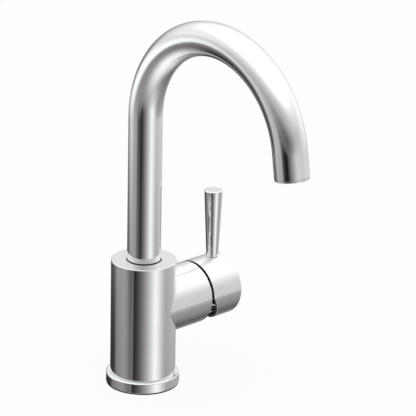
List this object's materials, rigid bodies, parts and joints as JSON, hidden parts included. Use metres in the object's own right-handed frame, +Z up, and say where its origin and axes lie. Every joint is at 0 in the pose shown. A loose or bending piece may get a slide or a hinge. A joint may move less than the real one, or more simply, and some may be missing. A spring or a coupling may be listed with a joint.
{
  "type": "gooseneck bar faucet",
  "caption": "Deck-mounted bar faucet in polished chrome with a swivelling gooseneck spout and an upright side lever that lifts for flow and turns for temperature.",
  "frame": {"origin": "on the body's axis, on the deck surface that the base gasket rests on", "axes": "+Z up along the body's axis, -Y towards the spout's outlet, +X towards the lever's hub"},
  "size_m": [0.1081, 0.1925, 0.3592],
  "materials": {
    "polished_chrome": "polished chrome plate",
    "bare_brass": "machined brass",
    "plain_steel": "plain stainless steel",
    "black_rubber": "moulded black rubber",
    "disc_ceramic": "lapped alumina ceramic",
    "white_plastic": "moulded acetal",
    "grey_plastic": "moulded glass-filled plastic",
    "black_plastic": "smooth black plastic"
  },
  "bodies": {
    "body": {"base_gasket": "black_rubber", "base_ring": "polished_chrome", "faucet_body": "polished_chrome", "mounting_shank": "bare_brass", "deck_rubber_washer": "black_rubber", "deck_steel_washer": "plain_steel", "mounting_locknut": "bare_brass", "hot_inlet_nipple": "bare_brass", "cold_inlet_nipple": "bare_brass", "spout_retaining_screw": "plain_steel", "cartridge_base": "grey_plastic", "outlet_port_seal": "black_rubber", "hot_port_seal": "black_rubber", "cold_port_seal": "black_rubber", "fixed_ceramic_disc": "disc_ceramic", "cartridge_housing": "white_plastic", "cartridge_nut": "bare_brass", "cartridge_bonnet": "black_plastic"},
    "spout": {"spout_tube": "polished_chrome", "spout_spigot": "bare_brass", "spout_seal_lower": "black_rubber", "spout_seal_upper": "black_rubber", "spout_bearing_lower": "white_plastic", "spout_bearing_upper": "white_plastic", "aerator_housing": "polished_chrome", "aerator_screen": "grey_plastic", "aerator_regulator": "white_plastic", "aerator_gasket": "black_rubber"},
    "valve_turret": {"turret": "grey_plastic", "turret_seal": "black_rubber", "stem_pivot_pin": "plain_steel"},
    "valve_disc": {"moving_ceramic_disc": "disc_ceramic", "disc_carrier": "grey_plastic"},
    "handle": {"stem": "bare_brass", "handle_hub": "polished_chrome", "lever": "polished_chrome", "handle_set_screw": "plain_steel"}
  },
  "joints": [
    {"name": "spout_swivel", "type": "hinge", "parent": "body", "child": "spout", "pos_m": [0, 0, 0.0992], "axis": [0, 0, 1], "continuous": true},
    {"name": "handle_turn", "type": "hinge", "parent": "body", "child": "valve_turret", "pos_m": [0.042, 0, 0.0603], "axis": [1, 0, 0], "range_deg": [-45, 45]},
    {"name": "handle_lift", "type": "hinge", "parent": "valve_turret", "child": "handle", "pos_m": [0.042, 0, 0.0603], "axis": [0, 1, 0], "range_deg": [0, 25]},
    {"name": "disc_slide", "type": "slide", "parent": "valve_turret", "child": "valve_disc", "axis": [0, 0, 1], "range_m": [0, 0.004]}
  ],
  "couplings": [
    {"joint": "disc_slide", "follows": "handle_lift", "m_per_rad": 0.0091}
  ]
}
